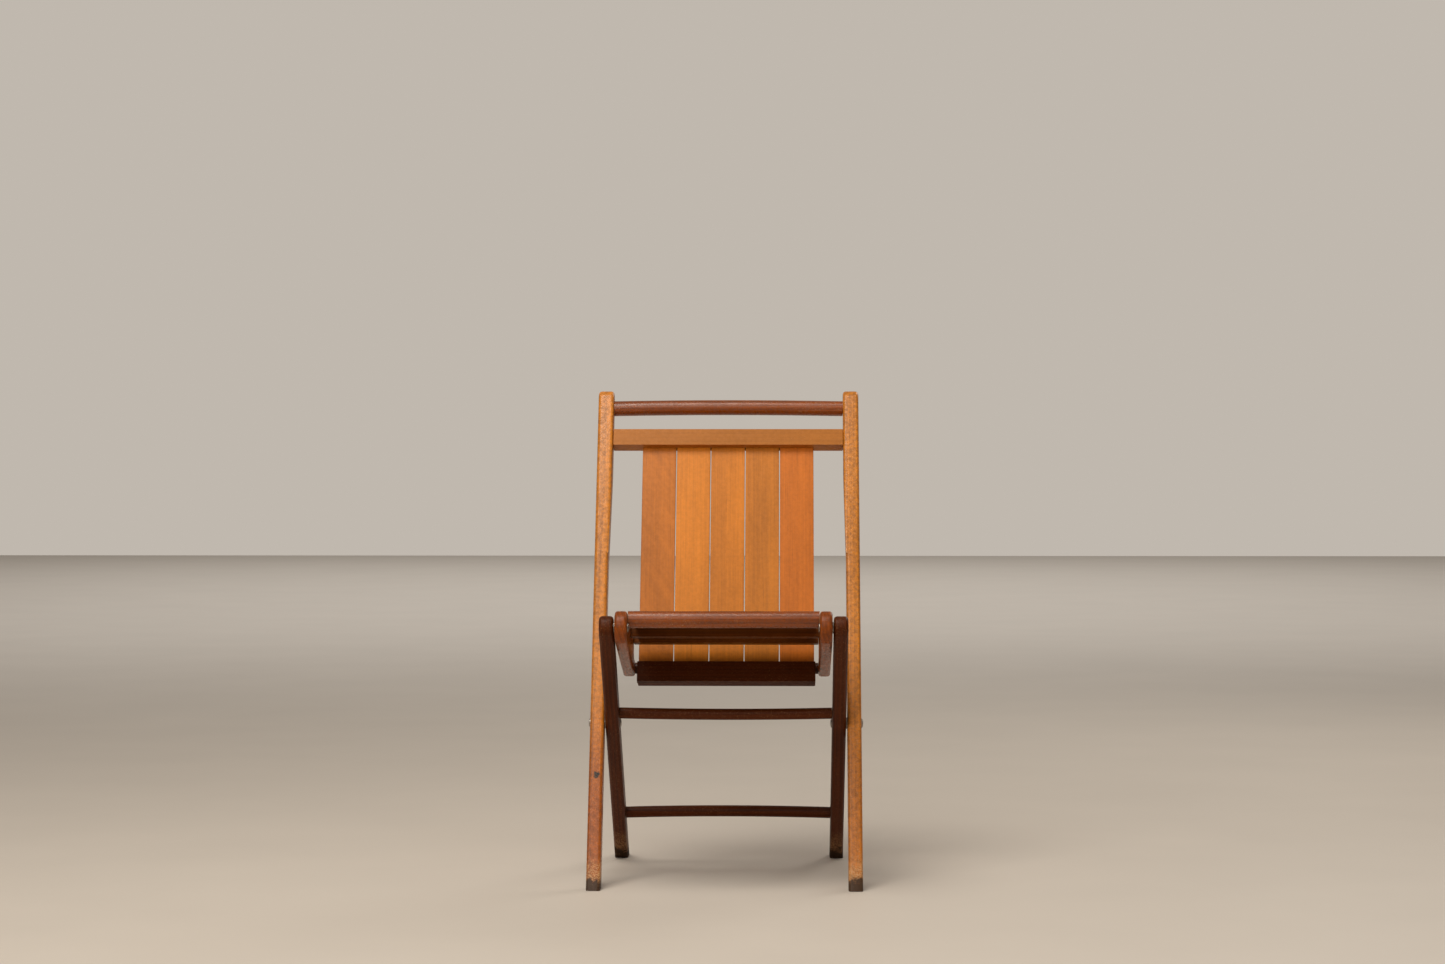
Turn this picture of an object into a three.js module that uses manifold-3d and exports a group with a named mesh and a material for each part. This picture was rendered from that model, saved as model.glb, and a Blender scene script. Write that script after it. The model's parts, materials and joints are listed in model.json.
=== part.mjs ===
// A wooden folding chair: a back frame on two long legs, a frame of two short legs that crosses it
// like a pair of scissors, and a slatted seat that is hinged to the tops of the short legs.
// Millimetres. X is the width, -Y is the front, +Z is up, and the origin is on the floor under the
// middle of the chair's bounding box.
import * as THREE from 'three';
import { mergeVertices } from 'three/addons/utils/BufferGeometryUtils.js';
import Module from 'manifold-3d';

const wasm = await Module();
wasm.setup();

// ---------- driving dimensions ----------
const FIT = 0.3;                  // gap left between pieces that touch
const HEIGHT = 775.5;             // floor to the top of the long legs
const HALF_WIDTH = 214;           // middle to the outer face of a long leg

const LONG_LEG = { thick: 22.3, wide: 35, lean: THREE.MathUtils.degToRad(24.9) };
const SHOULDER = { thick: 3.2, from: 285, full: 430 };    // inward growth of a long leg's upper end
const SHORT_LEG = { thick: 22, wide: 35 };
const SIDE_RAIL = { thick: 19, deep: 50 };
const JOINT_GAP = 2;              // between two frames, where a washer sits

const LEG_PIVOT = { y: 134, z: 248 };     // from the front feet's front edge and the floor
const SEAT_PIVOT = { y: -55, z: 410 };
const SEAT_TILT = THREE.MathUtils.degToRad(12);

const CREST = { radius: 12.35, up: 550, bow: 2 };
const TOP_RAIL = { tall: 28, deep: 24.5, up: 492, middle: -2.75 };
const SLAT = { count: 5, wide: 54.8, pitch: 56.2, thick: 8, front: -2.4, short: 9 };
const GROOVE = 12;                // how far the back slats are let into the top rail
const BOTTOM_RAIL = { tall: 33.8, deep: 10.6, up: 65.6 };
const STOP_RAIL = { tall: 19.5, deep: 28 };

const UPPER_STRETCHER = { radius: 8.8, along: 27, bow: -2 };
const LOWER_STRETCHER = { radius: 9.2, along: -251, bow: 2.5 };

const FRONT_RAIL = { radius: 13, s: 14, t: 14.5 };
const SEAT_SLAT = { bottom: 15, thick: 7, front: 20.4, back: 222 };
const BATTEN = { wide: 20, middle: { s: 110, thick: 13.5 }, rear: { s: 211, thick: 8.5 } };
const DOWEL = { radius: 9, s: 272, t: -24.5, lobe: 13 };
// Where a side rail drops behind the seat slats, and how its S-shaped curve is pulled.
const RAIL_STEP = { from: 212, to: 230, sag: 10, crown: 7, curl: 4, tail: 8, rise: 1 };

// A tenon starts at its root inside the rod. Each named amount is how much its radius is less
// than that of the rod it ends.
const TENON = { length: 10, play: FIT, root: 6, crest: 4, stretcher: 2.5, front: 5, dowel: 3 };
const TOP_TENON = { tall: 9, deep: 8.25 };   // half the size of the top rail's flat tenon
const RIVET = { radius: 4, head: 7, dome: 2.6, recess: 3, rim: 0.4, crown: 0.7, overlap: 0.5 };
const WASHER = { radius: 9, thick: 1.2 };
const EDGE = { sawn: 1.2, slat: 0.9, leg: 5, rail: 4.5 };   // how far each edge is rounded over
const ROUND_STEPS = 28;           // facets round a rod
const PIN_STEPS = 18;             // facets round a rivet, washer or bore

// ---------- derived places ----------
const longInner = HALF_WIDTH - LONG_LEG.thick;
const shoulderInner = longInner - SHOULDER.thick;
const shortOuter = longInner - JOINT_GAP;
const shortInner = shortOuter - SHORT_LEG.thick;
const railOuter = shortInner - JOINT_GAP;
const railInner = railOuter - SIDE_RAIL.thick;
const reachY = SEAT_PIVOT.y - LEG_PIVOT.y;
const reachZ = SEAT_PIVOT.z - LEG_PIVOT.z;
const shortReach = Math.hypot(reachY, reachZ);
const shortLean = Math.atan2(reachZ, -reachY);
const rearFoot = LEG_PIVOT.y + LEG_PIVOT.z / Math.tan(shortLean) + SHORT_LEG.wide / 2 / Math.sin(shortLean);
const seatFront = SEAT_PIVOT.y - SIDE_RAIL.deep / 2;
const originY = (seatFront + rearFoot) / 2;
const slatHalfSpan = (SLAT.pitch * (SLAT.count - 1) + SLAT.wide) / 2;
const slatBack = SLAT.front + SLAT.thick;

// ---------- finishes ----------
const wood = {
  long: new THREE.MeshStandardMaterial({ color: 0xa9652c, roughness: 0.5 }),
  short: new THREE.MeshStandardMaterial({ color: 0x6e3a1c, roughness: 0.5 }),
  rail: new THREE.MeshStandardMaterial({ color: 0x8a5024, roughness: 0.45 }),
  slat: new THREE.MeshStandardMaterial({ color: 0xb4702c, roughness: 0.4 }),
  seat: new THREE.MeshStandardMaterial({ color: 0x7c4a22, roughness: 0.5 }),
};
const steel = new THREE.MeshStandardMaterial({ color: 0x6f6a63, roughness: 0.45, metalness: 1 });

// ---------- solids ----------
function toSolid(geometry) {
  const bare = geometry.clone();
  bare.deleteAttribute('normal');
  bare.deleteAttribute('uv');
  const merged = mergeVertices(bare, 1e-4);
  const vertProperties = new Float32Array(merged.attributes.position.array);
  const triVerts = new Uint32Array(merged.index.array);
  return new wasm.Manifold(new wasm.Mesh({ numProp: 3, vertProperties, triVerts }));
}

function toGeometry(solid) {
  const mesh = solid.getMesh();
  const geometry = new THREE.BufferGeometry();
  geometry.setAttribute('position', new THREE.BufferAttribute(new Float32Array(mesh.vertProperties), 3));
  geometry.setIndex(new THREE.BufferAttribute(new Uint32Array(mesh.triVerts), 1));
  return geometry;
}

function cut(geometry, tools) {
  return toGeometry(tools.reduce((solid, tool) => solid.subtract(toSolid(tool)), toSolid(geometry)));
}

function join(geometry, extras) {
  return toGeometry(extras.reduce((solid, extra) => solid.add(toSolid(extra)), toSolid(geometry)));
}

// A flat outline in the YZ plane, given thickness along X between two places.
function plate(outline, fromX, toX, edge, edgeSteps = 2) {
  const depth = toX - fromX - 2 * edge;
  const geometry = new THREE.ExtrudeGeometry(outline, {
    depth,
    curveSegments: 7,
    bevelThickness: edge,
    bevelSize: edge,
    bevelOffset: -edge,
    bevelSegments: edgeSteps,
  });
  geometry.translate(0, 0, fromX + edge);
  const turn = new THREE.Matrix4().set(0, 0, 1, 0, 1, 0, 0, 0, 0, 1, 0, 0, 0, 0, 0, 1);
  return geometry.applyMatrix4(turn);
}

function rectangle(y0, z0, y1, z1) {
  const outline = new THREE.Shape();
  outline.moveTo(y0, z0);
  outline.lineTo(y1, z0);
  outline.lineTo(y1, z1);
  outline.lineTo(y0, z1);
  outline.closePath();
  return outline;
}

function board(x0, x1, y0, y1, z0, z1, edge = EDGE.sawn) {
  return plate(rectangle(y0, z0, y1, z1), x0, x1, edge);
}

// A plain block without worn edges, for cutting grooves and mortises.
function block(x0, x1, y0, y1, z0, z1) {
  const geometry = new THREE.BoxGeometry(x1 - x0, y1 - y0, z1 - z0);
  return geometry.translate((x0 + x1) / 2, (y0 + y1) / 2, (z0 + z1) / 2);
}

function pin(radius, x0, x1, y, z) {
  const geometry = new THREE.CylinderGeometry(radius, radius, x1 - x0, PIN_STEPS);
  geometry.rotateZ(Math.PI / 2);
  return geometry.translate((x0 + x1) / 2, y, z);
}

// A round rod across the chair, slightly bowed along lift, with a tenon at each end.
function rod(radius, half, y, z, lift, tenonRadius) {
  const end = half - FIT;
  const path = new THREE.QuadraticBezierCurve3(
    new THREE.Vector3(-end, y, z),
    new THREE.Vector3(0, y + 2 * lift.y, z + 2 * lift.z),
    new THREE.Vector3(end, y, z),
  );
  const section = new THREE.Shape();
  section.absarc(0, 0, radius, 0, 2 * Math.PI);
  const bar = new THREE.ExtrudeGeometry(section, {
    extrudePath: path,
    steps: lift.y || lift.z ? 8 : 1,
    curveSegments: ROUND_STEPS / 2,
    bevelEnabled: false,
  });
  const tip = half + TENON.length - FIT;
  const tenons = [-1, 1].map((side) => {
    const ends = [side * (end - TENON.root), side * tip].sort((a, b) => a - b);
    return pin(tenonRadius, ends[0], ends[1], y, z);
  });
  return join(bar, tenons);
}

function socket(face, side, radius, y, z) {
  const ends = [side * (face - 1), side * (face + TENON.length)].sort((a, b) => a - b);
  return pin(radius + TENON.play, ends[0], ends[1], y, z);
}

// Everything under the floor, seen from a frame that is turned by angle and stands height above it.
function underFloor(angle, height) {
  const deep = 400;
  const ground = block(-2 * HALF_WIDTH, 2 * HALF_WIDTH, -deep, deep, -deep, 0);
  return ground.translate(0, 0, -height).rotateX(angle);
}

function add(group, name, geometry, material) {
  const mesh = new THREE.Mesh(geometry, material);
  mesh.name = name;
  group.add(mesh);
}

const sides = [['left', -1], ['right', 1]];

function span(side, inner, outer) {
  return side > 0 ? [inner, outer] : [-outer, -inner];
}

// ---------- back frame: y is behind the long legs' middle line, z is up along them ----------
function legOutline(half, bottom, topCentre) {
  const outline = new THREE.Shape();
  outline.moveTo(-half, bottom);
  outline.lineTo(half, bottom);
  outline.lineTo(half, topCentre);
  outline.absarc(0, topCentre, half, 0, Math.PI);
  outline.closePath();
  return outline;
}

// The block that planes a long leg's shoulder down to nothing at its lower end.
function shoulderTaper(side) {
  const run = SHOULDER.full - SHOULDER.from;
  const turn = Math.atan2(SHOULDER.thick, run);
  const size = 2 * LONG_LEG.wide;
  const taper = block(side > 0 ? -size : 0, side > 0 ? 0 : size, -size, size, -run, 2 * run);
  return taper.rotateY(-side * turn).translate(side * longInner, 0, SHOULDER.from);
}

function longLeg(side) {
  const half = LONG_LEG.wide / 2;
  const { lean } = LONG_LEG;
  const bottom = -LEG_PIVOT.z / Math.cos(lean) - LONG_LEG.wide;
  const topCentre = (HEIGHT - LEG_PIVOT.z - half) / Math.cos(lean);
  const [x0, x1] = span(side, longInner, HALF_WIDTH);
  const leg = plate(legOutline(half, bottom, topCentre), x0, x1, EDGE.leg, 3);
  const [s0, s1] = span(side, shoulderInner, HALF_WIDTH);
  const upper = plate(legOutline(half, SHOULDER.from, topCentre), s0, s1, EDGE.leg, 3);
  const [m0, m1] = span(side, shoulderInner - 1, shoulderInner + TENON.length);
  const deep = TOP_TENON.deep + TENON.play;
  const tall = TOP_TENON.tall + TENON.play;
  const { middle, up } = TOP_RAIL;
  return cut(join(leg, [cut(upper, [shoulderTaper(side)])]), [
    underFloor(lean, LEG_PIVOT.z),
    pin(RIVET.radius + FIT, x0 - 1, x1 + 1, 0, 0),
    socket(shoulderInner, side, CREST.radius - TENON.crest, 0, CREST.up),
    block(m0, m1, middle - deep, middle + deep, up - tall, up + tall),
  ]);
}

function topRail() {
  const { tall, deep, up, middle } = TOP_RAIL;
  const end = shoulderInner - FIT;
  const tip = end + TENON.length;
  const bar = board(-end, end, middle - deep / 2, middle + deep / 2, up - tall / 2, up + tall / 2);
  const [y0, y1] = [middle - TOP_TENON.deep, middle + TOP_TENON.deep];
  const tenon = block(-tip, tip, y0, y1, up - TOP_TENON.tall, up + TOP_TENON.tall);
  const play = FIT + 0.1;
  const reach = slatHalfSpan + play;
  const bottom = up - tall / 2;
  const groove = block(-reach, reach, SLAT.front - play, slatBack + play, bottom - 1, bottom + GROOVE);
  return cut(join(bar, [tenon]), [groove]);
}

function slatX(index) {
  return (index - (SLAT.count - 1) / 2) * SLAT.pitch;
}

function backSlat(index) {
  const x = slatX(index);
  const half = SLAT.wide / 2;
  const bottom = BOTTOM_RAIL.up + SLAT.short;
  const top = TOP_RAIL.up - TOP_RAIL.tall / 2 + GROOVE - FIT;
  return board(x - half, x + half, SLAT.front, slatBack, bottom, top, EDGE.slat);
}

function bottomRail() {
  const back = SLAT.front - FIT;
  const half = slatHalfSpan + 2;
  const { up, tall, deep } = BOTTOM_RAIL;
  return board(-half, half, back - deep, back, up, up + tall);
}

function stopRail(dowelUp) {
  const front = slatBack + FIT;
  const half = slatHalfSpan + 2;
  const top = dowelUp - DOWEL.radius - 2 * FIT;
  return board(-half, half, front, front + STOP_RAIL.deep, top - STOP_RAIL.tall, top);
}

function domedRivet(side, inner, outer, recessed) {
  const from = recessed ? outer - RIVET.recess + FIT : outer + FIT;
  const thick = recessed ? RIVET.recess - FIT : RIVET.dome;
  const shank = [inner - FIT - RIVET.overlap, from + RIVET.overlap];
  const outline = new THREE.Path();
  outline.moveTo(0, 0);
  outline.lineTo(RIVET.head, 0);
  outline.lineTo(RIVET.head, thick * RIVET.rim);
  outline.quadraticCurveTo(RIVET.head * RIVET.crown, thick, 0, thick);
  const head = new THREE.LatheGeometry(outline.getPoints(4), PIN_STEPS);
  const outerHead = head.clone().rotateZ(-Math.PI / 2 * side).translate(side * from, 0, 0);
  const innerHead = head.clone().rotateZ(Math.PI / 2 * side).translate(side * (inner - FIT), 0, 0);
  const ends = [side * shank[0], side * shank[1]].sort((a, b) => a - b);
  return join(pin(RIVET.radius, ends[0], ends[1], 0, 0), [outerHead, innerHead]);
}

function washer(side, face) {
  const ring = new THREE.Path();
  const inner = RIVET.radius + FIT;
  ring.moveTo(inner, 0);
  ring.lineTo(WASHER.radius, 0);
  ring.lineTo(WASHER.radius, WASHER.thick);
  ring.lineTo(inner, WASHER.thick);
  ring.lineTo(inner, 0);
  const geometry = new THREE.LatheGeometry(ring.getPoints(1), PIN_STEPS);
  geometry.rotateZ(Math.PI / 2);
  const middle = face - JOINT_GAP / 2;
  return geometry.translate(side * middle + WASHER.thick / 2, 0, 0);
}

function backFrame(dowelUp) {
  const group = new THREE.Group();
  for (const [label, side] of sides) {
    add(group, `long_leg_${label}`, longLeg(side), wood.long);
    add(group, `leg_pivot_rivet_${label}`, domedRivet(side, shortInner, HALF_WIDTH, false), steel);
    add(group, `leg_pivot_washer_${label}`, washer(side, longInner), steel);
  }
  const lift = { y: 0, z: CREST.bow };
  const crest = rod(CREST.radius, shoulderInner, 0, CREST.up, lift, CREST.radius - TENON.crest);
  add(group, 'crest_rail', crest, wood.rail);
  add(group, 'back_top_rail', topRail(), wood.rail);
  for (let index = 0; index < SLAT.count; index += 1) {
    add(group, `back_slat_${index + 1}`, backSlat(index), wood.slat);
  }
  add(group, 'back_bottom_rail', bottomRail(), wood.short);
  add(group, 'seat_stop_rail', stopRail(dowelUp), wood.short);
  group.position.set(0, LEG_PIVOT.y - originY, LEG_PIVOT.z);
  group.rotation.x = -LONG_LEG.lean;
  return group;
}

// ---------- leg frame: z runs from the leg pivot up to the seat pivot ----------
function shortLeg(side) {
  const half = SHORT_LEG.wide / 2;
  const bottom = -LEG_PIVOT.z / Math.sin(shortLean) - SHORT_LEG.wide;
  const [x0, x1] = span(side, shortInner, shortOuter);
  const [c0, c1] = span(side, shortOuter - RIVET.recess, shortOuter + 1);
  const inward = [UPPER_STRETCHER, LOWER_STRETCHER].map((bar) => {
    return socket(shortInner, side, bar.radius - TENON.stretcher, 0, bar.along);
  });
  return cut(plate(legOutline(half, bottom, shortReach), x0, x1, EDGE.leg, 3), [
    underFloor(shortLean - Math.PI / 2, LEG_PIVOT.z),
    pin(RIVET.radius + FIT, x0 - 1, x1 + 1, 0, 0),
    pin(RIVET.radius + FIT, x0 - 1, x1 + 1, 0, shortReach),
    pin(RIVET.head + 2 * FIT, c0, c1, 0, shortReach),
    ...inward,
  ]);
}

function stretcher(bar) {
  const turn = Math.PI / 2 - shortLean;
  const lift = { y: bar.bow * Math.sin(turn), z: bar.bow * Math.cos(turn) };
  return rod(bar.radius, shortInner, 0, bar.along, lift, bar.radius - TENON.stretcher);
}

function legFrame() {
  const group = new THREE.Group();
  for (const [label, side] of sides) {
    add(group, `short_leg_${label}`, shortLeg(side), wood.short);
    const rivet = domedRivet(side, railInner, shortOuter, true).translate(0, 0, shortReach);
    add(group, `seat_pivot_rivet_${label}`, rivet, steel);
    add(group, `seat_pivot_washer_${label}`, washer(side, shortInner).translate(0, 0, shortReach), steel);
  }
  add(group, 'upper_stretcher', stretcher(UPPER_STRETCHER), wood.short);
  add(group, 'lower_stretcher', stretcher(LOWER_STRETCHER), wood.short);
  group.position.set(0, LEG_PIVOT.y - originY, LEG_PIVOT.z);
  group.rotation.x = Math.PI / 2 - shortLean;
  return group;
}

// ---------- seat: y runs back along the seat from its pivot, z is square to it ----------
function sideRail(side) {
  const half = SIDE_RAIL.deep / 2;
  const { s, t, lobe } = DOWEL;
  const { from, to, sag, crown, curl, tail, rise } = RAIL_STEP;
  const step = t + lobe + rise;
  const outline = new THREE.Shape();
  outline.moveTo(0, half);
  outline.absarc(0, 0, half, Math.PI / 2, 3 * Math.PI / 2);
  outline.lineTo(s, t - lobe);
  outline.absarc(s, t, lobe, -Math.PI / 2, Math.PI / 2);
  outline.lineTo(to + tail, step);
  outline.quadraticCurveTo(to, step, to - curl, step - rise + sag);
  outline.quadraticCurveTo(from + crown, half, from, half);
  outline.closePath();
  const [x0, x1] = span(side, railInner, railOuter);
  return cut(plate(outline, x0, x1, EDGE.rail, 3), [
    pin(RIVET.radius + FIT, x0 - 1, x1 + 1, 0, 0),
    socket(railInner, side, FRONT_RAIL.radius - TENON.front, FRONT_RAIL.s, FRONT_RAIL.t),
    socket(railInner, side, DOWEL.radius - TENON.dowel, s, t),
  ]);
}

function frontRail() {
  const { radius, s, t } = FRONT_RAIL;
  const bar = rod(radius, railInner, s, t, { y: 0, z: 0 }, radius - TENON.front);
  const reach = slatHalfSpan + 2 * FIT;
  const low = SEAT_SLAT.bottom - FIT;
  const high = SEAT_SLAT.bottom + SEAT_SLAT.thick + FIT;
  return cut(bar, [block(-reach, reach, SEAT_SLAT.front - FIT, s + radius + 1, low, high)]);
}

function seatSlat(index) {
  const x = slatX(index);
  const half = SLAT.wide / 2;
  const { bottom, thick, front, back } = SEAT_SLAT;
  return board(x - half, x + half, front, back, bottom, bottom + thick, EDGE.slat);
}

function batten({ s, thick }) {
  const end = railInner - FIT;
  const top = SEAT_SLAT.bottom - FIT;
  return board(-end, end, s - BATTEN.wide / 2, s + BATTEN.wide / 2, top - thick, top);
}

function seatFrame() {
  const group = new THREE.Group();
  for (const [label, side] of sides) {
    add(group, `seat_side_rail_${label}`, sideRail(side), wood.rail);
  }
  add(group, 'seat_front_rail', frontRail(), wood.rail);
  for (let index = 0; index < SLAT.count; index += 1) {
    add(group, `seat_slat_${index + 1}`, seatSlat(index), wood.seat);
  }
  add(group, 'seat_middle_batten', batten(BATTEN.middle), wood.seat);
  add(group, 'seat_rear_batten', batten(BATTEN.rear), wood.seat);
  const still = { y: 0, z: 0 };
  const dowel = rod(DOWEL.radius, railInner, DOWEL.s, DOWEL.t, still, DOWEL.radius - TENON.dowel);
  add(group, 'seat_rear_dowel', dowel, wood.short);
  group.position.set(0, SEAT_PIVOT.y - originY, SEAT_PIVOT.z);
  group.rotation.x = -SEAT_TILT;
  return group;
}

// Where the rear dowel stands along the long legs when the chair is open.
function dowelAlongLegs() {
  const y = reachY + DOWEL.s * Math.cos(SEAT_TILT) + DOWEL.t * Math.sin(SEAT_TILT);
  const z = reachZ - DOWEL.s * Math.sin(SEAT_TILT) + DOWEL.t * Math.cos(SEAT_TILT);
  return y * Math.sin(LONG_LEG.lean) + z * Math.cos(LONG_LEG.lean);
}

const chair = new THREE.Group();
chair.add(backFrame(dowelAlongLegs()));
chair.add(legFrame());
chair.add(seatFrame());

export default chair;
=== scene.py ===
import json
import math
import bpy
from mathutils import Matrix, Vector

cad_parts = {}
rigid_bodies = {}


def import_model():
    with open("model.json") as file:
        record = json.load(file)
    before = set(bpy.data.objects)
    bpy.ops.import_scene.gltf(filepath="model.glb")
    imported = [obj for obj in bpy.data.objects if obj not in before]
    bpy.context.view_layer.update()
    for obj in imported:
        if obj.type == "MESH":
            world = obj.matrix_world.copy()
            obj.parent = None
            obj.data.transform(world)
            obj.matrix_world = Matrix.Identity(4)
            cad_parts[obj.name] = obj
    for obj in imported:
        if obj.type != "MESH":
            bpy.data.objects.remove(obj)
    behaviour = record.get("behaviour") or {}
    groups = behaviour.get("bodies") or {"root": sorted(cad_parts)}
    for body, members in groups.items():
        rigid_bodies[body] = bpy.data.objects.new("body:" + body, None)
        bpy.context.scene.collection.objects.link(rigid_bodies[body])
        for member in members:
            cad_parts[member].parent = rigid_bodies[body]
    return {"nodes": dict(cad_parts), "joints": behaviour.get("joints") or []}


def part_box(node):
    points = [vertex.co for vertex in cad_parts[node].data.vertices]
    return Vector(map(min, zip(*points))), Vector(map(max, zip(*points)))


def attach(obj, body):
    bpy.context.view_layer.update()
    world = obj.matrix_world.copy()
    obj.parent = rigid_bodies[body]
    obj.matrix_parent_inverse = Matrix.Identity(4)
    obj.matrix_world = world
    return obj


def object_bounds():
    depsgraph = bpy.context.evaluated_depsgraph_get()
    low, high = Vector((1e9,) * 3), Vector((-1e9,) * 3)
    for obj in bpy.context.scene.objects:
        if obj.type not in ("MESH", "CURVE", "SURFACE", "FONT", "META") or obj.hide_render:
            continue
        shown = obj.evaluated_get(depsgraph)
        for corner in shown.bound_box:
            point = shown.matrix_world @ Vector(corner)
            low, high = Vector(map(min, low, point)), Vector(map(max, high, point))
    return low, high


bl_info = {
    "name": "Slatted Folding Chair",
    "version": (1, 0, 0),
    "blender": (4, 5, 0),
    "location": "View3D > Sidebar > Chair",
    "description": "Finishes and small hardware for a varnished wooden folding chair",
    "category": "Object",
}

import bmesh
import bpy
from bpy.props import FloatProperty, FloatVectorProperty, PointerProperty
from bpy.types import Operator, Panel, PropertyGroup
from mathutils import Euler, Matrix, Vector

for stray in list(bpy.data.objects):
    bpy.data.objects.remove(stray)

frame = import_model()
CAD_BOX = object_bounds()
NODES = frame["nodes"]
JOINTS = {joint["name"]: joint for joint in frame["joints"]}
LEG_PIVOT = Vector(JOINTS["leg_fold"]["pos_m"])
SEAT_PIVOT = Vector(JOINTS["seat_fold"]["pos_m"])

# How far each of the three frames is turned about X while the chair stands open.
LONG_LEAN = math.radians(-24.9)
SHORT_LEAN = math.pi / 2 - math.atan2(SEAT_PIVOT.z - LEG_PIVOT.z, LEG_PIVOT.y - SEAT_PIVOT.y)
SEAT_LEAN = math.radians(-12)
SIDES = ("left", "right")
SLAT_COUNT = 5


# ---------- settings ----------
class ChairWoodSettings(PropertyGroup):
    tan: FloatVectorProperty(
        name="Long legs", description="Varnish colour of the two long legs",
        subtype="COLOR", default=(0.56, 0.195, 0.020), min=0, max=1)
    golden: FloatVectorProperty(
        name="Back slats", description="Middle colour of the five back slats",
        subtype="COLOR", default=(0.61, 0.195, 0.012), min=0, max=1)
    rail: FloatVectorProperty(
        name="Round rails", description="Varnish colour of the crest rail and the seat's front rail",
        subtype="COLOR", default=(0.25, 0.052, 0.002), min=0, max=1)
    flat: FloatVectorProperty(
        name="Top rail", description="Colour of the flat rail over the back slats",
        subtype="COLOR", default=(0.43, 0.145, 0.014), min=0, max=1)
    brown: FloatVectorProperty(
        name="Seat boards", description="Colour of the seat slats and battens",
        subtype="COLOR", default=(0.15, 0.038, 0.002), min=0, max=1)
    # Partly the pieces' own darker finish and partly painted shade: these pieces face down or sit under the
    # seat, and their shade is darkened into this colour.
    dark: FloatVectorProperty(
        name="Dark pieces", description="Colour of the short legs, stretchers and lower boards",
        subtype="COLOR", default=(0.072, 0.014, 0.001), min=0, max=1)
    bare: FloatVectorProperty(
        name="Bare wood", description="Colour where the varnish has rubbed off",
        subtype="COLOR", default=(0.62, 0.36, 0.16), min=0, max=1)
    grime: FloatVectorProperty(
        name="Grime", description="Colour of the dirt on the feet",
        subtype="COLOR", default=(0.022, 0.010, 0.004), min=0, max=1)
    grime_height: FloatProperty(
        name="Grime height", description="How far up the feet the dirt reaches",
        unit="LENGTH", default=0.024, min=0, max=0.05)
    ring_spacing: FloatProperty(
        name="Ring spacing", description="Distance between two growth rings",
        unit="LENGTH", default=0.0065, min=0.001, max=0.05)
    edge_reach: FloatProperty(
        name="Edge wear", description="How far wear spreads from an edge",
        unit="LENGTH", default=0.0022, min=0, max=0.01)


class ChairHardwareSettings(PropertyGroup):
    nail_radius: FloatProperty(
        name="Nail head", description="Radius of a nail's head",
        unit="LENGTH", default=0.0019, min=0.0005, max=0.006)
    nail_dome: FloatProperty(
        name="Nail dome", description="How far a nail's head stands up",
        unit="LENGTH", default=0.0005, min=0.0001, max=0.003)
    steel: FloatVectorProperty(
        name="Steel", description="Colour of the nails, rivets and washers",
        subtype="COLOR", default=(0.36, 0.33, 0.29), min=0, max=1)


class ChairStageSettings(PropertyGroup):
    floor: FloatVectorProperty(
        name="Floor", description="Colour of the floor and the background",
        subtype="COLOR", default=(0.66, 0.60, 0.53), min=0, max=1)
    camera_back: FloatProperty(
        name="Camera distance", description="From the front feet back to the camera",
        unit="LENGTH", default=5.0, min=1, max=20)
    camera_side: FloatProperty(
        name="Camera side", description="How far the camera stands right of the chair's middle",
        unit="LENGTH", default=0.095, min=-2, max=2)
    camera_height: FloatProperty(
        name="Camera height", description="Height of the camera over the floor",
        unit="LENGTH", default=0.70, min=0, max=4)
    camera_pan: FloatProperty(
        name="Camera pan", description="How far the camera turns to the left",
        subtype="ANGLE", default=math.radians(1.12), min=-1, max=1)
    camera_tilt: FloatProperty(
        name="Camera tilt", description="How far the camera looks down",
        subtype="ANGLE", default=math.radians(0.79), min=-1, max=1)
    lens: FloatProperty(
        name="Lens", description="Focal length in millimetres",
        unit="CAMERA", default=81.0, min=10, max=300)
    key_power: FloatProperty(
        name="Key light", description="Strength of the large light over the front",
        unit="POWER", default=62, min=0, max=2000)
    sky: FloatProperty(
        name="Sky", description="Strength of the even light from all round",
        subtype="FACTOR", default=0.42, min=0, max=5)


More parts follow.
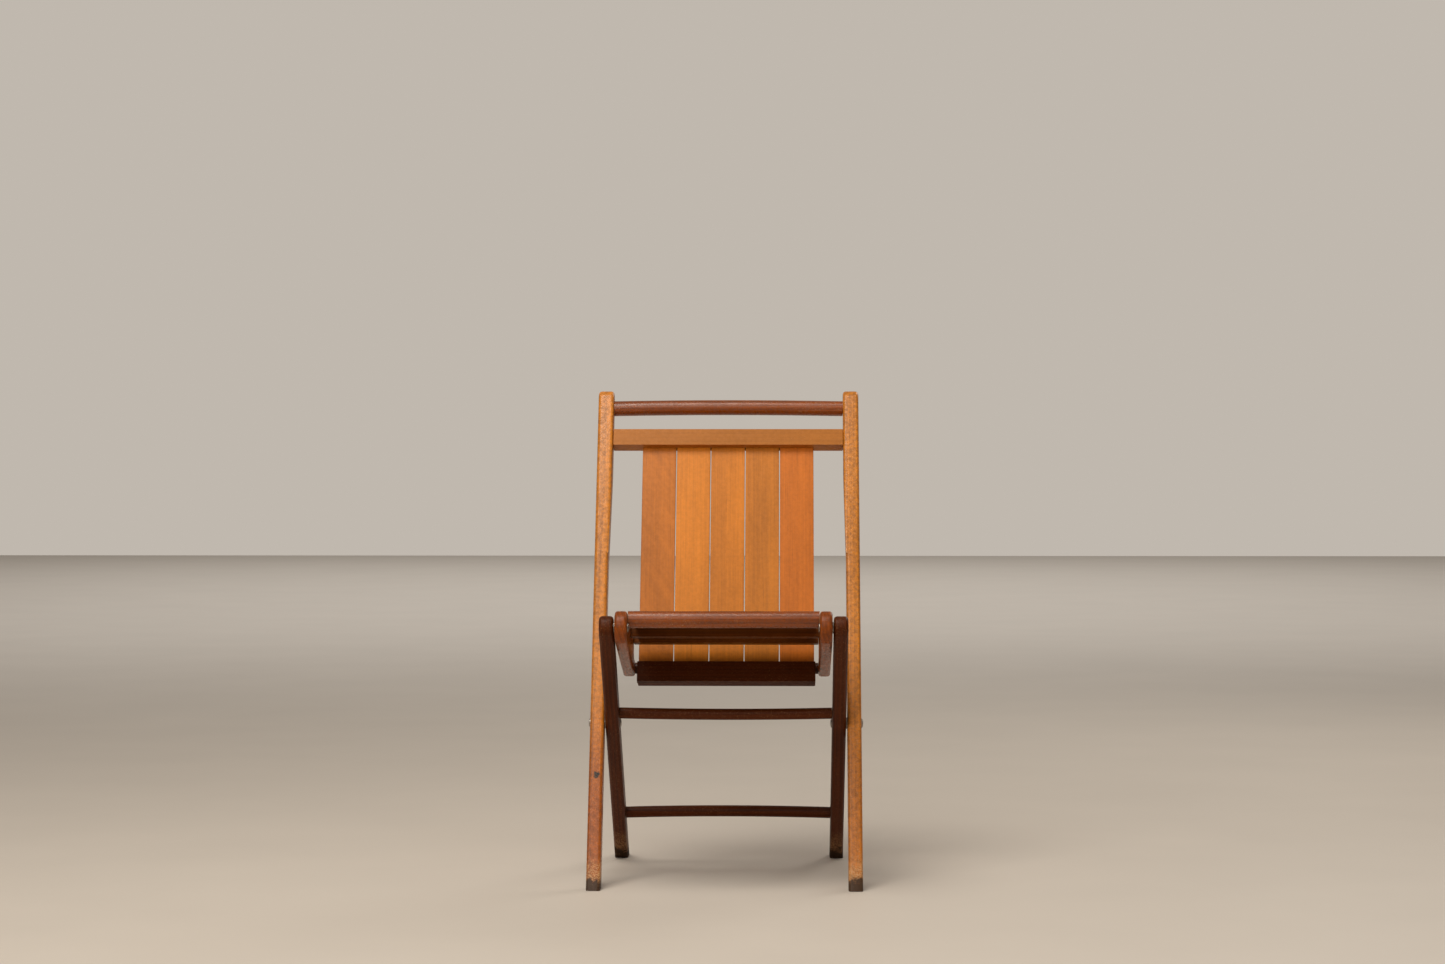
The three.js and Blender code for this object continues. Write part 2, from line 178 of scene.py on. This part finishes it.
# ---------- small helpers for shader nodes ----------
class Graph:
    """Adds shader nodes and joins them with one short call each."""

    def __init__(self, name):
        self.material = bpy.data.materials.new(name)
        self.material.use_nodes = True
        self.tree = self.material.node_tree
        self.shader = self.tree.nodes["Principled BSDF"]

    def node(self, kind, inputs=None, **settings):
        made = self.tree.nodes.new(kind)
        for key, value in settings.items():
            setattr(made, key, value)
        for key, value in (inputs or {}).items():
            self.feed(made.inputs[key], value)
        return made

    def feed(self, socket, value):
        if isinstance(value, bpy.types.NodeSocket):
            self.tree.links.new(value, socket)
        else:
            socket.default_value = value

    def maths(self, operation, first, second=0.0, third=0.0, clamp=False):
        inputs = {0: first, 1: second, 2: third}
        made = self.node("ShaderNodeMath", inputs, operation=operation, use_clamp=clamp)
        return made.outputs[0]

    def noise(self, vector, scale, detail=2.0, roughness=0.5):
        inputs = {"Vector": vector, "Scale": scale, "Detail": detail, "Roughness": roughness}
        return self.node("ShaderNodeTexNoise", inputs).outputs["Fac"]

    def stretch(self, vector, factors):
        made = self.node("ShaderNodeVectorMath", {0: vector, 1: factors}, operation="MULTIPLY")
        return made.outputs[0]

    def between(self, value, low, high, out_low=0.0, out_high=1.0):
        inputs = {"Value": value, "From Min": low, "From Max": high, "To Min": out_low, "To Max": out_high}
        return self.node("ShaderNodeMapRange", inputs, interpolation_type="SMOOTHSTEP").outputs[0]

    def mix(self, factor, first, second, blend="MIX"):
        made = self.node("ShaderNodeMix", data_type="RGBA", blend_type=blend)
        self.feed(made.inputs["Factor"], factor)
        self.feed(made.inputs[6], first)
        self.feed(made.inputs[7], second)
        return made.outputs[2]

    def edges(self, reach):
        """1 along a convex or hollow edge, falling to 0 away from it."""
        rounded = self.node("ShaderNodeBevel", {"Radius": reach}, samples=4).outputs[0]
        true = self.node("ShaderNodeNewGeometry").outputs["Normal"]
        dot = self.node("ShaderNodeVectorMath", {0: rounded, 1: true}, operation="DOT_PRODUCT")
        return self.between(dot.outputs["Value"], 0.995, 0.80)


def shade(colour, factor):
    return (*[min(1.0, part * factor) for part in colour[:3]], 1.0)


# ---------- wood ----------
# Each pattern in the wood: scale per metre, detail and roughness of its noise.
BEND = (9.0, 3.0, 0.5)
FIBRE = (620.0, 4.0, 0.65)
STREAK = (78.0, 4.0, 0.6)
CLOUD = (14.0, 4.0, 0.6)
RIPPLE = (95.0, 2.0, 0.5)
SPECKLE = (520.0, 3.0, 0.7)
PATCH = (70.0, 4.0, 0.72)
BLOTCH = (165.0, 4.0, 0.7)
SHEEN = (210.0, 3.0, 0.6)
SCUFF = (44.0, 3.0, 0.7)
RAGGED_NICK = (160.0, 2.0, 0.5)

# How short each pattern is along the grain, as a part of its width: smaller is longer.
RING_DRAWN = 0.055
BEND_DRAWN = 0.35
FIBRE_DRAWN = 0.02
STREAK_DRAWN = 0.014
CLOUD_DRAWN = 0.3
RIPPLE_DRAWN = 0.08

FIBRE_SHARE = 0.28
STREAK_SHARE = 0.42
CLOUD_SHARE = 0.50
BEND_SHARE = 0.18
MIDDLE_TONE = 0.79
TONE_SPREAD = 0.17
RIPPLE_SLANT = math.radians(32)
REDDENED = (0.55, 0.33, 0.20, 1)


def growth_rings(g, grain, spacing):
    """Growth rings round the grain's own Z axis."""
    inputs = {
        "Vector": g.stretch(grain, (1, 1, RING_DRAWN)), "Scale": 2 * math.pi / (20 * spacing),
        "Distortion": 5.5, "Detail": 2.0, "Detail Scale": 0.7, "Detail Roughness": 0.6,
    }
    rings = g.node("ShaderNodeTexWave", inputs, wave_type="RINGS", rings_direction="Z", wave_profile="SAW")
    return rings.outputs["Fac"]


def wood_tone(g, grain, fibre, cloud, spacing, rings, figure, contrast):
    """0 in the darkest grain and 1 in the palest."""
    growth = growth_rings(g, grain, spacing)
    bend = g.noise(g.stretch(grain, (1, 1, BEND_DRAWN)), *BEND)
    streak = g.noise(g.stretch(grain, (1, 1, STREAK_DRAWN)), *STREAK)
    tone = g.maths("MULTIPLY_ADD", growth, rings, 0.1 - rings / 2)
    shares = ((fibre, FIBRE_SHARE), (streak, STREAK_SHARE), (cloud, CLOUD_SHARE), (bend, BEND_SHARE))
    for pattern, share in shares:
        tone = g.maths("MULTIPLY_ADD", pattern, share, tone)
    if figure:
        slanted = g.node("ShaderNodeMapping", {"Vector": grain, "Rotation": (0, RIPPLE_SLANT, 0)})
        ripple = g.noise(g.stretch(slanted.outputs[0], (1, 1, RIPPLE_DRAWN)), *RIPPLE)
        tone = g.maths("MULTIPLY_ADD", ripple, figure, tone)
        tone = g.maths("SUBTRACT", tone, figure / 2)
    spread = TONE_SPREAD / contrast
    return g.between(tone, MIDDLE_TONE - spread, MIDDLE_TONE + spread)


def worn_through(g, settings, speckle, patch, cloud, wear):
    """1 where the varnish is gone: chipped edges and scattered dots."""
    chipped = g.maths("MULTIPLY", g.edges(settings.edge_reach), g.between(patch, 0.44, 0.62))
    dotted = g.maths("MULTIPLY", g.between(speckle, 0.57, 0.68), g.between(cloud, 0.36, 0.60))
    worn = g.maths("MULTIPLY_ADD", chipped, 0.9, g.maths("MULTIPLY", dotted, 0.55), clamp=True)
    return g.maths("MULTIPLY", worn, wear)


def wood(name, colour, turn, seed, gloss=0.34, wear=0.5, contrast=1.0, figure=0.0, rings=0.2,
         foot=False, low=0.0, nick=None, mottle=0.1, coat=0.08, sheen=0.2, bumps=0.35):
    """Varnished wood whose grain runs along Z after the object is turned by turn.

    figure is the strength of slanted ripples, low reddens the lower end of a leg, foot adds dirt
    and rubbing there, and nick is the place of one dark dent.
    """
    settings = bpy.context.scene.chair_wood
    g = Graph(name)
    place = g.node("ShaderNodeTexCoord").outputs["Object"]
    offset = (0.083 + 0.031 * seed, 0.061 - 0.017 * (seed % 3), 0.37 * seed)
    grain = g.node("ShaderNodeMapping", {"Vector": place, "Rotation": turn, "Location": offset}).outputs[0]
    fibre = g.noise(g.stretch(grain, (1, 1, FIBRE_DRAWN)), *FIBRE)
    cloud = g.noise(g.stretch(grain, (1, 1, CLOUD_DRAWN)), *CLOUD)
    speckle = g.noise(place, *SPECKLE)
    patch = g.noise(place, *PATCH)

    tone = wood_tone(g, grain, fibre, cloud, settings.ring_spacing, rings, figure, contrast)
    base = g.mix(tone, shade(colour, 1 - 0.42 * contrast), shade(colour, 1 + 0.22 * contrast))
    pores = g.between(fibre, 0.36, 0.30)
    base = g.mix(g.maths("MULTIPLY", pores, 0.45), base, shade(colour, 0.38))
    blotch = g.between(g.noise(place, *BLOTCH), 0.36, 0.64)
    base = g.mix(mottle, base, g.mix(blotch, shade(colour, 0.55), shade(colour, 1.45)))
    worn = worn_through(g, settings, speckle, patch, cloud, wear)
    rough = g.maths("MULTIPLY_ADD", g.noise(place, *SHEEN), 0.22, gloss - 0.11)
    uneven = 0.12 * bumps
    rough = g.maths("MULTIPLY_ADD", blotch, -2 * uneven, g.maths("ADD", rough, uneven))

    if foot:
        height = g.node("ShaderNodeSeparateXYZ", {0: place}).outputs["Z"]
        reddened = g.maths("MULTIPLY", g.between(height, 0.34, 0.12), low)
        base = g.mix(reddened, base, REDDENED, "MULTIPLY")
        ragged = g.maths("MULTIPLY_ADD", g.maths("SUBTRACT", patch, 0.5), 0.050, height)
        rubbed = g.maths("MULTIPLY", g.between(ragged, 0.060, 0.020), g.between(speckle, 0.42, 0.60))
        worn = g.maths("MAXIMUM", worn, g.maths("MULTIPLY", rubbed, wear))
        scuff = g.maths("MULTIPLY", g.between(g.noise(place, *SCUFF), 0.69, 0.75), 0.5)
        base = g.mix(scuff, base, shade(settings.grime, 2.5))
    if nick:
        away = g.node("ShaderNodeVectorMath", {0: place, 1: nick}, operation="DISTANCE").outputs["Value"]
        frayed = g.maths("SUBTRACT", g.noise(place, *RAGGED_NICK), 0.5)
        away = g.maths("MULTIPLY_ADD", frayed, 0.012, away)
        base = g.mix(g.between(away, 0.0065, 0.0040), base, shade(settings.grime, 0.7))
    base = g.mix(worn, base, shade(settings.bare, 1.0))
    rough = g.maths("MULTIPLY_ADD", worn, 0.30, rough)
    if foot:
        dirt = g.between(ragged, settings.grime_height, settings.grime_height * 0.45)
        base = g.mix(g.maths("MULTIPLY", dirt, 0.93), base, shade(settings.grime, 1.0))
        rough = g.maths("MULTIPLY_ADD", dirt, 0.3, rough, clamp=True)

    relief = g.maths("MULTIPLY_ADD", speckle, 0.55, g.maths("MULTIPLY", fibre, 0.6))
    relief = g.maths("MULTIPLY_ADD", patch, 0.9, relief)
    relief = g.maths("SUBTRACT", relief, g.maths("MULTIPLY", worn, 0.35))
    bump = g.node("ShaderNodeBump", {"Strength": bumps, "Distance": 0.0006, "Height": relief})
    g.feed(g.shader.inputs["Base Color"], base)
    g.feed(g.shader.inputs["Roughness"], rough)
    g.feed(g.shader.inputs["Normal"], bump.outputs[0])
    g.shader.inputs["Specular IOR Level"].default_value = sheen
    g.shader.inputs["Coat Weight"].default_value = coat
    g.shader.inputs["Coat Roughness"].default_value = 0.22
    return g.material


def dull_steel(name, seed):
    """Tarnished steel with faint rust in its hollows."""
    settings = bpy.context.scene.chair_hardware
    g = Graph(name)
    place = g.node("ShaderNodeTexCoord").outputs["Object"]
    place = g.node("ShaderNodeMapping", {"Vector": place, "Location": (seed * 0.1, 0, 0)}).outputs[0]
    stain = g.noise(place, 420.0, 4.0, 0.65)
    fine = g.noise(place, 1900.0, 2.0)
    rust = g.between(stain, 0.52, 0.68)
    base = g.mix(g.maths("MULTIPLY", rust, 0.75), shade(settings.steel, 1.0), (0.12, 0.055, 0.025, 1))
    g.feed(g.shader.inputs["Base Color"], base)
    g.feed(g.shader.inputs["Metallic"], g.between(rust, 0.0, 1.0, 1.0, 0.35))
    g.feed(g.shader.inputs["Roughness"], g.maths("MULTIPLY_ADD", rust, 0.35, 0.38))
    relief = g.maths("ADD", fine, stain)
    bump = g.node("ShaderNodeBump", {"Strength": 0.3, "Distance": 0.0002, "Height": relief})
    g.feed(g.shader.inputs["Normal"], bump.outputs[0])
    return g.material


# ---------- shading and placing ----------
def smoothing():
    """A geometry group that joins split faces and keeps only steep edges sharp."""
    name = "Smooth faces"
    if name in bpy.data.node_groups:
        return bpy.data.node_groups[name]
    tree = bpy.data.node_groups.new(name, "GeometryNodeTree")
    tree.interface.new_socket("Geometry", in_out="INPUT", socket_type="NodeSocketGeometry")
    tree.interface.new_socket("Geometry", in_out="OUTPUT", socket_type="NodeSocketGeometry")
    add, link = tree.nodes.new, tree.links.new
    start = add("NodeGroupInput")
    weld = add("GeometryNodeMergeByDistance")
    weld.inputs["Distance"].default_value = 0.00001
    faces = add("GeometryNodeSetShadeSmooth")
    angle = add("GeometryNodeInputMeshEdgeAngle")
    gentle = add("ShaderNodeMath")
    gentle.operation = "LESS_THAN"
    gentle.inputs[1].default_value = math.radians(38)
    edges = add("GeometryNodeSetShadeSmooth")
    edges.domain = "EDGE"
    end = add("NodeGroupOutput")
    link(start.outputs[0], weld.inputs[0])
    link(weld.outputs[0], faces.inputs[0])
    link(faces.outputs[0], edges.inputs[0])
    link(angle.outputs[0], gentle.inputs[0])
    link(gentle.outputs[0], edges.inputs["Shade Smooth"])
    link(edges.outputs[0], end.inputs[0])
    return tree


def dress(node, material):
    """Gives a frame node its finish and smooth shading, and leaves its shape alone."""
    piece = NODES[node]
    piece.data.materials.clear()
    piece.data.materials.append(material)
    if "custom_normal" in piece.data.attributes:
        piece.data.attributes.remove(piece.data.attributes["custom_normal"])
    piece.modifiers.new("Smooth", "NODES").node_group = smoothing()
    flat = piece.modifiers.new("Flat faces", "WEIGHTED_NORMAL")
    flat.keep_sharp = True


def along(lean):
    """Texture turn that brings grain running up a leaning frame onto Z."""
    return (-lean, 0, 0)


def across(lean):
    """Texture turn that brings grain running across the chair onto Z."""
    return (-lean, math.radians(90), 0)


def on_frame(pivot, lean, x, back, up):
    """A point given from a pivot, in the turned frame's own directions."""
    return pivot + Matrix.Rotation(lean, 3, "X") @ Vector((x, back, up))


def heads(name, places, radius, dome, body, material):
    """One piece holding a domed nail head at each (place, turn)."""
    mesh = bpy.data.meshes.new(name)
    bm = bmesh.new()
    rings = 4
    segments = 18
    sink = 0.6 * dome
    angles = [2 * math.pi * k / segments for k in range(segments)]
    circle = [Vector((math.cos(angle), math.sin(angle), 0)) for angle in angles]
    for place, turn in places:
        loops = []
        for ring in range(rings + 1):
            bow = ring / rings * math.pi / 2
            across_dome = radius * math.cos(bow)
            height = dome * math.sin(bow)
            if ring < rings:
                corners = [across_dome * spoke + Vector((0, 0, height)) for spoke in circle]
            else:
                corners = [Vector((0, 0, height))]
            loops.append([bm.verts.new(place + turn @ corner) for corner in corners])
        sunk = [radius * spoke - Vector((0, 0, sink)) for spoke in circle]
        foot = [bm.verts.new(place + turn @ corner) for corner in sunk]
        loops.insert(0, foot)
        for low, high in zip(loops, loops[1:]):
            for k in range(segments):
                after = (k + 1) % segments
                if len(high) == 1:
                    bm.faces.new((low[k], low[after], high[0]))
                else:
                    bm.faces.new((low[k], low[after], high[after], high[k]))
        bm.faces.new(list(reversed(foot)))
    bm.to_mesh(mesh)
    bm.free()
    for face in mesh.polygons:
        face.use_smooth = len(face.vertices) < segments
    piece = bpy.data.objects.new(name, mesh)
    bpy.context.scene.collection.objects.link(piece)
    mesh.materials.append(material)
    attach(piece, body)
    return piece


def slat_middles():
    """X of each slat's middle, left to right."""
    corners = [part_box(f"back_slat_{k + 1}") for k in range(SLAT_COUNT)]
    return [(low.x + high.x) / 2 for low, high in corners]


# ---------- one operator for each group of like pieces ----------
class CHAIR_OT_long_legs(Operator):
    """Varnish the two long legs, with rubbed edges and grimy feet"""
    bl_idname = "chair.long_legs"
    bl_label = "Long Legs"

    def execute(self, context):
        colour = context.scene.chair_wood.tan
        nick_up = 0.172
        low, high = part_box("long_leg_left")
        nick = Vector(((low.x + high.x) / 2, low.y - nick_up * math.tan(LONG_LEAN), nick_up))
        reddened = {"left": 0.85, "right": 0.35}
        nicks = {"left": nick, "right": None}
        for seed, side in enumerate(SIDES):
            finish = wood(f"tan_wood_{side}", colour, along(LONG_LEAN), 3 + seed, gloss=0.34, wear=0.95,
                          contrast=1.0, foot=True, low=reddened[side], nick=nicks[side], coat=0.25,
                          sheen=0.3, bumps=0.9, mottle=0.5)
            dress(f"long_leg_{side}", finish)
        return {"FINISHED"}


class CHAIR_OT_back_rails(Operator):
    """Finish the round crest rail and the flat top rail"""
    bl_idname = "chair.back_rails"
    bl_label = "Back Rails"

    def execute(self, context):
        settings = context.scene.chair_wood
        dress("crest_rail", wood("crest_wood", settings.rail, across(LONG_LEAN), 6, gloss=0.30, wear=0.8,
                                 coat=0.35, sheen=0.4, bumps=1.0, mottle=0.25))
        dress("back_top_rail", wood("top_rail_wood", settings.flat, across(LONG_LEAN), 8, gloss=0.48,
                                    wear=0.25, contrast=0.5, rings=0.1))
        return {"FINISHED"}


class CHAIR_OT_back_slats(Operator):
    """Finish the five back slats, each with a tone and figure of its own"""
    bl_idname = "chair.back_slats"
    bl_label = "Back Slats"

    def execute(self, context):
        base = context.scene.chair_wood.golden
        tones = (
            (0.86, 0.80, 0.84),
            (1.10, 1.10, 1.06),
            (1.04, 1.03, 1.02),
            (0.95, 0.96, 1.10),
            (0.98, 0.82, 0.82),
        )
        figures = (0.30, 0.06, 0.10, 0.12, 0.05)
        for index, (tone, figure) in enumerate(zip(tones, figures)):
            colour = [part * share for part, share in zip(base, tone)]
            finish = wood(f"golden_wood_{index + 1}", colour, along(LONG_LEAN), 11 + 2 * index, gloss=0.42,
                          wear=0.12, contrast=0.68, figure=figure, rings=0.05)
            dress(f"back_slat_{index + 1}", finish)
        return {"FINISHED"}


class CHAIR_OT_lower_boards(Operator):
    """Finish the board across the foot of the back and the stop rail behind it"""
    bl_idname = "chair.lower_boards"
    bl_label = "Lower Boards"

    def execute(self, context):
        # The dark colour holds painted shade for these boards, which sit in shade under the seat.
        dark = context.scene.chair_wood.dark
        for seed, node in enumerate(("back_bottom_rail", "seat_stop_rail")):
            dress(node, wood(f"dark_wood_{node}", dark, across(LONG_LEAN), 23 + seed, gloss=0.46, wear=0.3,
                             coat=0.0, sheen=0.12))
        return {"FINISHED"}


class CHAIR_OT_leg_frame(Operator):
    """Finish the two short legs and the two stretchers between them"""
    bl_idname = "chair.leg_frame"
    bl_label = "Short Legs and Stretchers"

    def execute(self, context):
        # The dark colour holds painted shade for the short legs and stretchers, which face away from the
        # light above.
        dark = context.scene.chair_wood.dark
        for seed, side in enumerate(SIDES):
            finish = wood(f"dark_wood_leg_{side}", dark, along(SHORT_LEAN), 31 + seed, gloss=0.42, wear=0.4,
                          foot=True, coat=0.0, sheen=0.12)
            dress(f"short_leg_{side}", finish)
        for seed, node in enumerate(("upper_stretcher", "lower_stretcher")):
            dress(node, wood(f"dark_wood_{node}", dark, across(SHORT_LEAN), 35 + seed, gloss=0.42, wear=0.4,
                             coat=0.0, sheen=0.12))
        return {"FINISHED"}


class CHAIR_OT_seat_rails(Operator):
    """Finish the seat's side rails, its round front rail and its rear dowel"""
    bl_idname = "chair.seat_rails"
    bl_label = "Seat Rails"

    def execute(self, context):
        settings = context.scene.chair_wood
        lying = (-SEAT_LEAN + math.radians(90), 0, 0)
        for seed, side in enumerate(SIDES):
            finish = wood(f"rail_wood_{side}", settings.rail, lying, 41 + seed, gloss=0.34, wear=1.0,
                          bumps=0.8, mottle=0.25)
            dress(f"seat_side_rail_{side}", finish)
        dress("seat_front_rail", wood("front_rail_wood", settings.rail, across(SEAT_LEAN), 44, gloss=0.30,
                                      wear=0.8, coat=0.3, sheen=0.3, bumps=1.0, mottle=0.25))
        # The dowel's dark colour holds painted shade from under the seat.
        dress("seat_rear_dowel", wood("dowel_wood", settings.dark, across(SEAT_LEAN), 46, wear=0.6))
        return {"FINISHED"}


class CHAIR_OT_seat_boards(Operator):
    """Finish the five seat slats and the two battens under them"""
    bl_idname = "chair.seat_boards"
    bl_label = "Seat Slats and Battens"

    def execute(self, context):
        brown = context.scene.chair_wood.brown
        lying = (-SEAT_LEAN + math.radians(90), 0, 0)
        tones = (0.92, 1.08, 1.0, 1.12, 0.95)
        for index, tone in enumerate(tones):
            colour = [part * tone for part in brown]
            finish = wood(f"brown_wood_{index + 1}", colour, lying, 51 + 2 * index, gloss=0.44,
                          wear=0.5, sheen=0.12)
            dress(f"seat_slat_{index + 1}", finish)
        for seed, node in enumerate(("seat_middle_batten", "seat_rear_batten")):
            dress(node, wood(f"brown_wood_{node}", brown, across(SEAT_LEAN), 63 + seed, gloss=0.45, wear=0.3,
                             sheen=0.12))
        return {"FINISHED"}


class CHAIR_OT_pivots(Operator):
    """Finish the rivets and washers at the four pivots"""
    bl_idname = "chair.pivots"
    bl_label = "Pivots"

    def execute(self, context):
        for seed, side in enumerate(SIDES):
            steel = dull_steel(f"dull_steel_{side}", seed)
            for pivot in ("leg", "seat"):
                dress(f"{pivot}_pivot_rivet_{side}", steel)
                dress(f"{pivot}_pivot_washer_{side}", steel)
        return {"FINISHED"}


class CHAIR_OT_nails(Operator):
    """Drive the nails through the seat slats and the back of the top rail"""
    bl_idname = "chair.nails"
    bl_label = "Nails"

    def execute(self, context):
        settings = context.scene.chair_hardware
        steel = dull_steel("dull_steel_nails", 5)
        nail_spread = 0.017
        seat_top = 0.022
        seat_turn = Matrix.Rotation(SEAT_LEAN, 3, "X")
        rows = (0.110, 0.211)
        places = [
            (on_frame(SEAT_PIVOT, SEAT_LEAN, x + side * nail_spread, row, seat_top), seat_turn)
            for x in slat_middles() for row in rows for side in (-1, 1)
        ]
        heads("seat_nails", places, settings.nail_radius, settings.nail_dome, "seat_frame", steel)
        back_turn = Matrix.Rotation(LONG_LEAN, 3, "X") @ Matrix.Rotation(math.radians(-90), 3, "X")
        rail_back = 0.0095
        rail_up = 0.486
        places = [
            (on_frame(LEG_PIVOT, LONG_LEAN, x + side * nail_spread, rail_back, rail_up), back_turn)
            for x in slat_middles() for side in (-1, 1)
        ]
        heads("top_rail_nails", places, settings.nail_radius, settings.nail_dome, "back_frame", steel)
        return {"FINISHED"}


def lay_floor(colour):
    """A wide plain floor with the faintest mottling."""
    half = 14.0
    mesh = bpy.data.meshes.new("floor")
    corners = [(-half, -half, 0), (half, -half, 0), (half, half, 0), (-half, half, 0)]
    mesh.from_pydata(corners, [], [(0, 1, 2, 3)])
    floor = bpy.data.objects.new("floor", mesh)
    bpy.context.scene.collection.objects.link(floor)
    g = Graph("pale_floor")
    mottle = g.noise(g.node("ShaderNodeTexCoord").outputs["Object"], 3.0, 5.0)
    tint = g.mix(mottle, shade(colour, 0.95), shade(colour, 1.04))
    g.feed(g.shader.inputs["Base Color"], tint)
    g.shader.inputs["Roughness"].default_value = 0.55
    mesh.materials.append(g.material)


def studio_world(colour, strength):
    """Even light from all round, in front of a plain backdrop that only the eye sees."""
    world = bpy.data.worlds.new("soft studio")
    world.use_nodes = True
    add, link = world.node_tree.nodes.new, world.node_tree.links.new
    light = world.node_tree.nodes["Background"]
    light.inputs["Color"].default_value = shade(colour, 1.0)
    light.inputs["Strength"].default_value = strength
    backdrop = add("ShaderNodeBackground")
    backdrop.inputs["Color"].default_value = shade(colour, 0.80)
    seen = add("ShaderNodeLightPath")
    choice = add("ShaderNodeMixShader")
    link(seen.outputs["Is Camera Ray"], choice.inputs[0])
    link(light.outputs[0], choice.inputs[1])
    link(backdrop.outputs[0], choice.inputs[2])
    link(choice.outputs[0], world.node_tree.nodes["World Output"].inputs["Surface"])
    bpy.context.scene.world = world


def hang(name, place, size, energy, colour):
    """A square area light that shines straight down."""
    data = bpy.data.lights.new(name, "AREA")
    data.size = size
    data.energy = energy
    data.color = colour
    lamp = bpy.data.objects.new(name, data)
    lamp.location = place
    bpy.context.scene.collection.objects.link(lamp)
    return lamp


def set_camera(settings):
    front_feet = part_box("long_leg_left")[0].y
    data = bpy.data.cameras.new("camera")
    data.lens = settings.lens
    camera = bpy.data.objects.new("camera", data)
    camera.location = (settings.camera_side, front_feet - settings.camera_back, settings.camera_height)
    camera.rotation_euler = Euler((math.pi / 2 - settings.camera_tilt, 0, settings.camera_pan), "XYZ")
    bpy.context.scene.collection.objects.link(camera)
    bpy.context.scene.camera = camera


class CHAIR_OT_stage(Operator):
    """Lay the floor, hang the lights and set the camera"""
    bl_idname = "chair.stage"
    bl_label = "Stage"

    def execute(self, context):
        settings = context.scene.chair_stage
        lay_floor(settings.floor)
        studio_world(settings.floor, settings.sky)
        wash = hang("floor wash", (0, 9.0, 4.5), 9.0, 2.2 * settings.key_power, (1, 1, 1))
        wash.data.spread = math.radians(100)
        # Name, place, size, share of the key light's power, colour.
        lights = (
            ("key", (-0.7, -1.1, 3.2), 1.6, 1.0, (1.0, 0.93, 0.84)),
            ("fill", (-1.2, -3.6, 2.5), 2.4, 0.8, (1.0, 0.92, 0.82)),
            ("rim", (1.8, 2.4, 2.4), 1.4, 0.35, (1.0, 0.94, 0.86)),
        )
        middle = (CAD_BOX[0] + CAD_BOX[1]) / 2
        for name, place, size, share, colour in lights:
            lamp = hang(name, place, size, settings.key_power * share, colour)
            lamp.rotation_euler = (middle - Vector(place)).to_track_quat("-Z", "Y").to_euler()
        set_camera(settings)
        context.scene.view_settings.view_transform = "Standard"
        return {"FINISHED"}


PIECES = (
    CHAIR_OT_long_legs,
    CHAIR_OT_back_rails,
    CHAIR_OT_back_slats,
    CHAIR_OT_lower_boards,
    CHAIR_OT_leg_frame,
    CHAIR_OT_seat_rails,
    CHAIR_OT_seat_boards,
    CHAIR_OT_pivots,
    CHAIR_OT_nails,
    CHAIR_OT_stage,
)
GROUPS = (
    ("chair_wood", ChairWoodSettings),
    ("chair_hardware", ChairHardwareSettings),
    ("chair_stage", ChairStageSettings),
)


class CHAIR_PT_pieces(Panel):
    """Lists the chair's pieces and their settings"""
    bl_idname = "CHAIR_PT_pieces"
    bl_label = "Folding Chair"
    bl_space_type = "VIEW_3D"
    bl_region_type = "UI"
    bl_category = "Chair"

    def draw(self, context):
        for piece in PIECES:
            self.layout.operator(piece.bl_idname)
        for name, group in GROUPS:
            box = self.layout.box()
            for setting in group.__annotations__:
                box.prop(getattr(context.scene, name), setting)


def register():
    for name, group in GROUPS:
        bpy.utils.register_class(group)
        setattr(bpy.types.Scene, name, PointerProperty(type=group))
    for piece in (*PIECES, CHAIR_PT_pieces):
        bpy.utils.register_class(piece)


def unregister():
    for piece in (*PIECES, CHAIR_PT_pieces):
        bpy.utils.unregister_class(piece)
    for name, group in GROUPS:
        delattr(bpy.types.Scene, name)
        bpy.utils.unregister_class(group)


def main():
    register()
    for piece in PIECES:
        group, action = piece.bl_idname.split(".")
        getattr(getattr(bpy.ops, group), action)()


if __name__ == "__main__":
    main()
